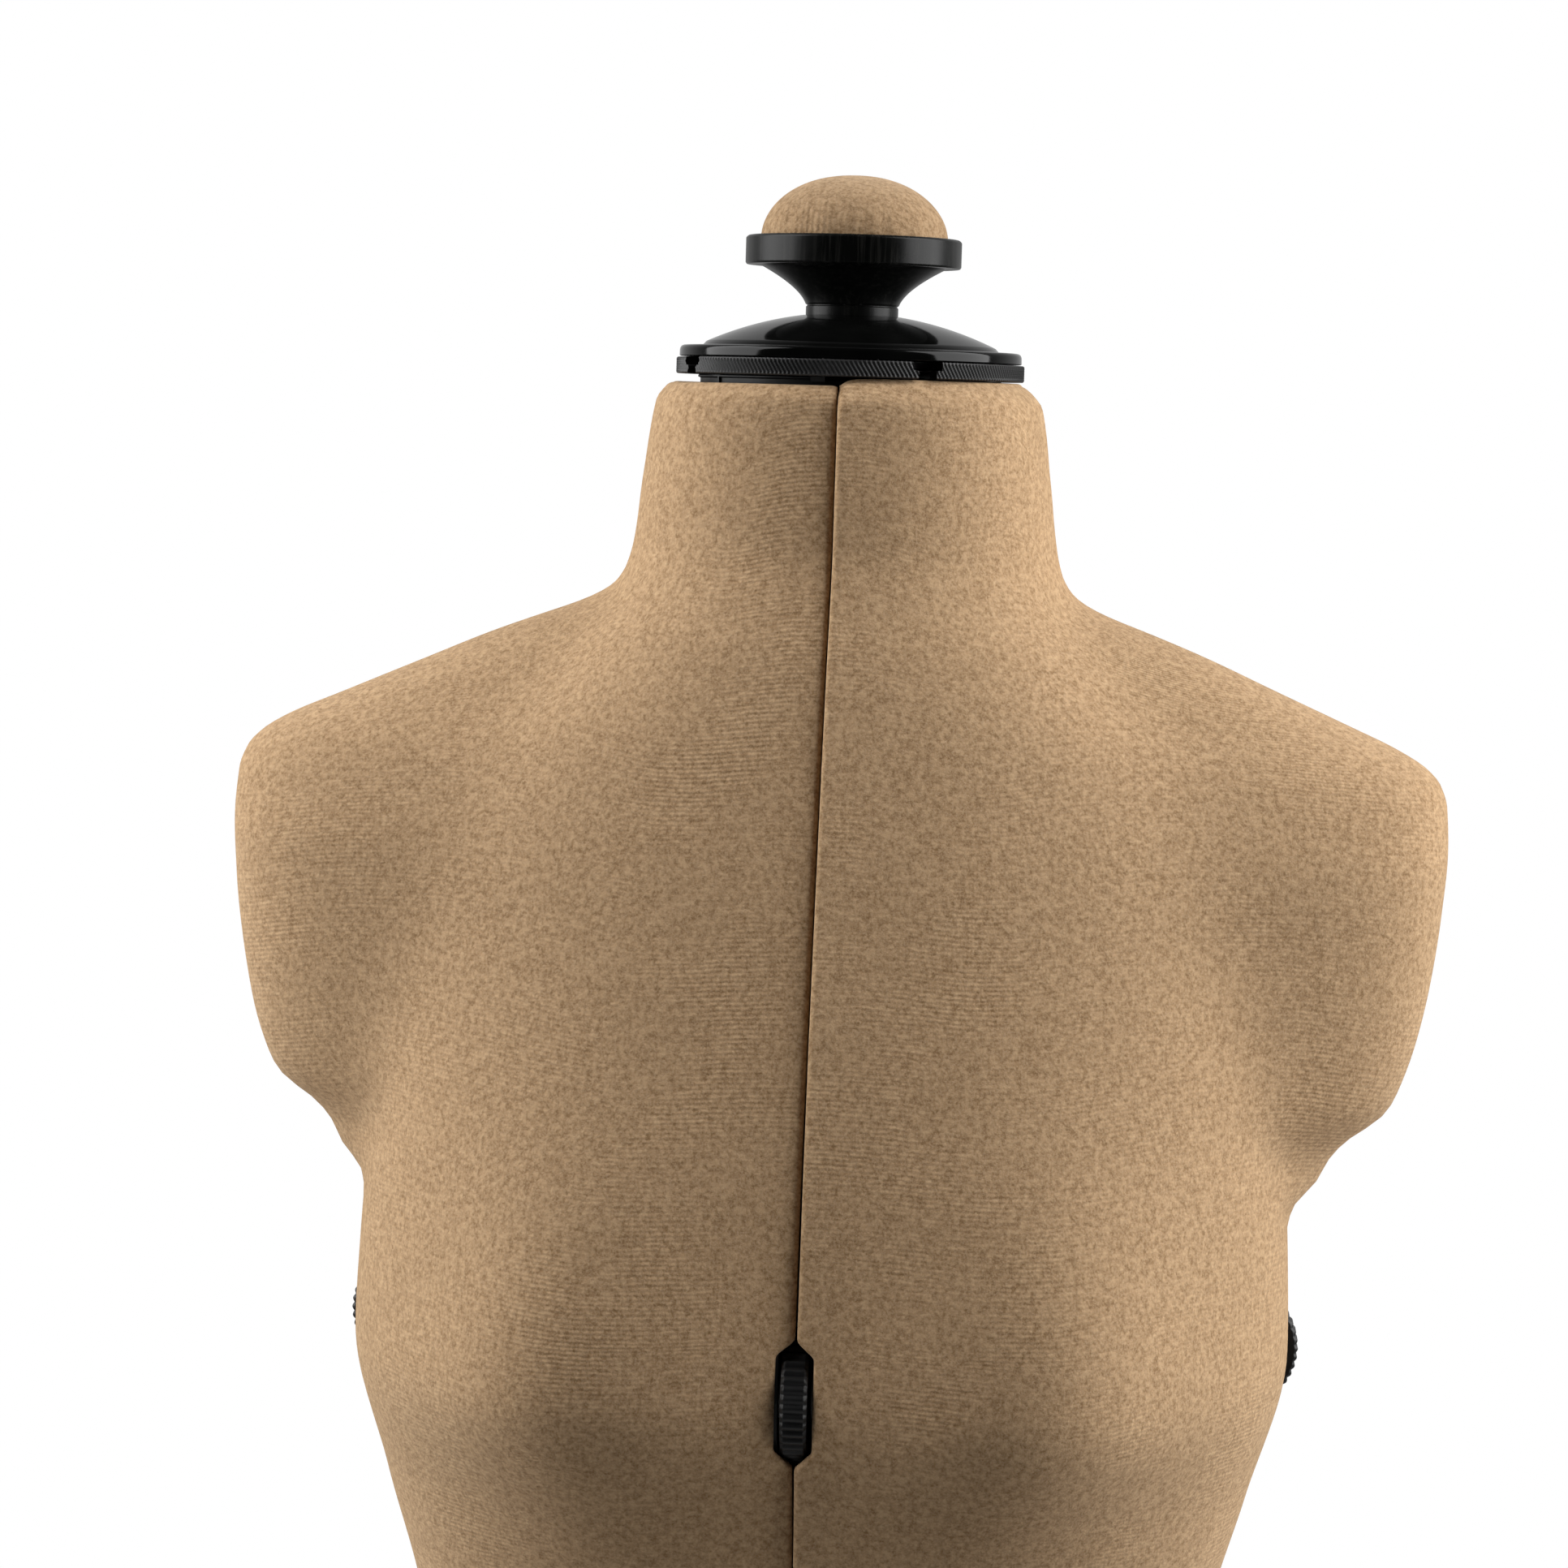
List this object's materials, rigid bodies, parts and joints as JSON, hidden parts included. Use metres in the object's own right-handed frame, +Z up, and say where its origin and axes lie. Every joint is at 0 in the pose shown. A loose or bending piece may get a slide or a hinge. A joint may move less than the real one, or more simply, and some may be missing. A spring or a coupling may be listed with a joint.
{
  "type": "adjustable dress form",
  "caption": "Adjustable dressmaker's form: fabric-covered torso panels that spread on dials, with a domed neck cap and pincushion, on a telescoping stand.",
  "frame": {"origin": "floor level under the column's axis, the middle of the four feet", "axes": "+Z up along the column; the form faces -Y, and its own left arm points to +X"},
  "size_m": [0.386, 0.386, 1.4639],
  "materials": {
    "black_metal": "satin black powder coat",
    "black_plastic": "matte moulded, fine texture",
    "steel": "bright drawn",
    "brass": "turned",
    "slippery_plastic": "waxy",
    "moulded_plastic": "as moulded",
    "gloss_black": "high gloss",
    "satin_black": "satin",
    "cover_fabric": "brushed foam-backed knit, camel",
    "wadding": "loose fibre",
    "shell_plastic": "as moulded",
    "foot_rubber": "moulded"
  },
  "bodies": {
    "stand": {"base_hub": "black_metal", "leg_screws": "steel", "outer_tube": "black_metal", "height_collar": "black_plastic", "collar_insert": "brass", "leg_front_left": "black_metal", "leg_back_left": "black_metal", "leg_back_right": "black_metal", "leg_front_right": "black_metal", "foot_front_left": "foot_rubber", "foot_back_left": "foot_rubber", "foot_back_right": "foot_rubber", "foot_front_right": "foot_rubber"},
    "height_clamp": {"clamp_knob": "black_plastic", "clamp_screw": "steel"},
    "column": {"inner_tube": "steel", "glide_bush": "slippery_plastic", "swivel_washer": "slippery_plastic"},
    "torso_core": {"top_socket": "moulded_plastic", "neck_plate": "black_plastic", "spider_hubs": "moulded_plastic", "centre_stud": "steel", "stud_nut": "steel", "neck_cap": "gloss_black", "pincushion_cup": "satin_black", "pincushion_cover": "cover_fabric", "pincushion_filling": "wadding"},
    "neck_adjuster": {"neck_dial": "black_plastic"},
    "front_carriage": {"dial_carriers_front": "moulded_plastic"},
    "left_carriage": {"dial_carriers_left": "moulded_plastic"},
    "back_carriage": {"dial_carriers_back": "moulded_plastic"},
    "right_carriage": {"dial_carriers_right": "moulded_plastic"},
    "front_left_panel": {"shell_front_left": "shell_plastic", "cover_front_left": "cover_fabric", "neck_arm_front_left": "black_plastic", "rod_nuts_front_left": "moulded_plastic"},
    "front_right_panel": {"shell_front_right": "shell_plastic", "cover_front_right": "cover_fabric", "neck_arm_front_right": "black_plastic", "rod_nuts_front_right": "moulded_plastic"},
    "back_left_panel": {"shell_back_left": "shell_plastic", "cover_back_left": "cover_fabric", "neck_arm_back_left": "black_plastic", "rod_nuts_back_left": "moulded_plastic"},
    "back_right_panel": {"shell_back_right": "shell_plastic", "cover_back_right": "cover_fabric", "neck_arm_back_right": "black_plastic", "rod_nuts_back_right": "moulded_plastic"},
    "front_bust_wheel": {"front_bust_dial": "black_plastic"},
    "front_waist_wheel": {"front_waist_dial": "black_plastic"},
    "front_hip_wheel": {"front_hip_dial": "black_plastic"},
    "left_bust_wheel": {"left_bust_dial": "black_plastic"},
    "left_waist_wheel": {"left_waist_dial": "black_plastic"},
    "left_hip_wheel": {"left_hip_dial": "black_plastic"},
    "back_bust_wheel": {"back_bust_dial": "black_plastic"},
    "back_waist_wheel": {"back_waist_dial": "black_plastic"},
    "back_hip_wheel": {"back_hip_dial": "black_plastic"},
    "right_bust_wheel": {"right_bust_dial": "black_plastic"},
    "right_waist_wheel": {"right_waist_dial": "black_plastic"},
    "right_hip_wheel": {"right_hip_dial": "black_plastic"}
  },
  "joints": [
    {"name": "column_height", "type": "slide", "parent": "stand", "child": "column", "axis": [0, 0, 1], "range_m": [0, 0.28]},
    {"name": "clamp_turn", "type": "hinge", "parent": "stand", "child": "height_clamp", "pos_m": [0.045, 0, 0.632], "axis": [1, 0, 0], "range_deg": [0, 720]},
    {"name": "torso_swivel", "type": "hinge", "parent": "column", "child": "torso_core", "pos_m": [0, 0, 1.38], "axis": [0, 0, 1], "continuous": true},
    {"name": "neck_dial_turn", "type": "hinge", "parent": "torso_core", "child": "neck_adjuster", "pos_m": [0, 0, 1.4035], "axis": [0, 0, 1], "range_deg": [0, 90]},
    {"name": "front_depth", "type": "slide", "parent": "torso_core", "child": "front_carriage", "axis": [0, -1, 0], "range_m": [0, 0.01]},
    {"name": "back_depth", "type": "slide", "parent": "torso_core", "child": "back_carriage", "axis": [0, 1, 0], "range_m": [0, 0.01]},
    {"name": "left_carriage_width", "type": "slide", "parent": "torso_core", "child": "left_carriage", "axis": [1, 0, 0], "range_m": [0, 0.02]},
    {"name": "right_carriage_width", "type": "slide", "parent": "torso_core", "child": "right_carriage", "axis": [-1, 0, 0], "range_m": [0, 0.02]},
    {"name": "front_left_width", "type": "slide", "parent": "front_carriage", "child": "front_left_panel", "axis": [1, 0, 0], "range_m": [0, 0.02]},
    {"name": "front_right_width", "type": "slide", "parent": "front_carriage", "child": "front_right_panel", "axis": [-1, 0, 0], "range_m": [0, 0.02]},
    {"name": "back_left_width", "type": "slide", "parent": "back_carriage", "child": "back_left_panel", "axis": [1, 0, 0], "range_m": [0, 0.02]},
    {"name": "back_right_width", "type": "slide", "parent": "back_carriage", "child": "back_right_panel", "axis": [-1, 0, 0], "range_m": [0, 0.02]},
    {"name": "front_bust_turn", "type": "hinge", "parent": "front_carriage", "child": "front_bust_wheel", "pos_m": [0, -0.09747, 1.1], "axis": [1, 0, 0], "range_deg": [0, 1440]},
    {"name": "front_waist_turn", "type": "hinge", "parent": "front_carriage", "child": "front_waist_wheel", "pos_m": [0, -0.072, 0.97], "axis": [1, 0, 0], "range_deg": [0, 1440]},
    {"name": "front_hip_turn", "type": "hinge", "parent": "front_carriage", "child": "front_hip_wheel", "pos_m": [0, -0.089, 0.79], "axis": [1, 0, 0], "range_deg": [0, 1440]},
    {"name": "left_bust_turn", "type": "hinge", "parent": "left_carriage", "child": "left_bust_wheel", "pos_m": [0.131, 0, 1.1], "axis": [0, 1, 0], "range_deg": [0, 720]},
    {"name": "left_waist_turn", "type": "hinge", "parent": "left_carriage", "child": "left_waist_wheel", "pos_m": [0.103, 0, 0.97], "axis": [0, 1, 0], "range_deg": [0, 720]},
    {"name": "left_hip_turn", "type": "hinge", "parent": "left_carriage", "child": "left_hip_wheel", "pos_m": [0.151, 0, 0.79], "axis": [0, 1, 0], "range_deg": [0, 720]},
    {"name": "back_bust_turn", "type": "hinge", "parent": "back_carriage", "child": "back_bust_wheel", "pos_m": [0, 0.074, 1.1], "axis": [1, 0, 0], "range_deg": [0, 1440]},
    {"name": "back_waist_turn", "type": "hinge", "parent": "back_carriage", "child": "back_waist_wheel", "pos_m": [0, 0.062, 0.97], "axis": [1, 0, 0], "range_deg": [0, 1440]},
    {"name": "back_hip_turn", "type": "hinge", "parent": "back_carriage", "child": "back_hip_wheel", "pos_m": [0, 0.10157, 0.79], "axis": [1, 0, 0], "range_deg": [0, 1440]},
    {"name": "right_bust_turn", "type": "hinge", "parent": "right_carriage", "child": "right_bust_wheel", "pos_m": [-0.131, 0, 1.1], "axis": [0, 1, 0], "range_deg": [0, 720]},
    {"name": "right_waist_turn", "type": "hinge", "parent": "right_carriage", "child": "right_waist_wheel", "pos_m": [-0.103, 0, 0.97], "axis": [0, 1, 0], "range_deg": [0, 720]},
    {"name": "right_hip_turn", "type": "hinge", "parent": "right_carriage", "child": "right_hip_wheel", "pos_m": [-0.151, 0, 0.79], "axis": [0, 1, 0], "range_deg": [0, 720]}
  ],
  "couplings": [
    {"joint": "back_depth", "follows": "front_depth", "ratio": 1},
    {"joint": "left_carriage_width", "follows": "front_left_width", "ratio": 1},
    {"joint": "right_carriage_width", "follows": "front_left_width", "ratio": 1},
    {"joint": "front_right_width", "follows": "front_left_width", "ratio": 1},
    {"joint": "back_left_width", "follows": "front_left_width", "ratio": 1},
    {"joint": "back_right_width", "follows": "front_left_width", "ratio": 1},
    {"joint": "neck_dial_turn", "follows": "front_left_width", "rad_per_m": 78.54},
    {"joint": "front_bust_turn", "follows": "front_left_width", "rad_per_m": 1256.6},
    {"joint": "front_waist_turn", "follows": "front_left_width", "rad_per_m": 1256.6},
    {"joint": "front_hip_turn", "follows": "front_left_width", "rad_per_m": 1256.6},
    {"joint": "left_bust_turn", "follows": "front_depth", "rad_per_m": 1256.6},
    {"joint": "left_waist_turn", "follows": "front_depth", "rad_per_m": 1256.6},
    {"joint": "left_hip_turn", "follows": "front_depth", "rad_per_m": 1256.6},
    {"joint": "back_bust_turn", "follows": "front_left_width", "rad_per_m": 1256.6},
    {"joint": "back_waist_turn", "follows": "front_left_width", "rad_per_m": 1256.6},
    {"joint": "back_hip_turn", "follows": "front_left_width", "rad_per_m": 1256.6},
    {"joint": "right_bust_turn", "follows": "front_depth", "rad_per_m": 1256.6},
    {"joint": "right_waist_turn", "follows": "front_depth", "rad_per_m": 1256.6},
    {"joint": "right_hip_turn", "follows": "front_depth", "rad_per_m": 1256.6}
  ]
}
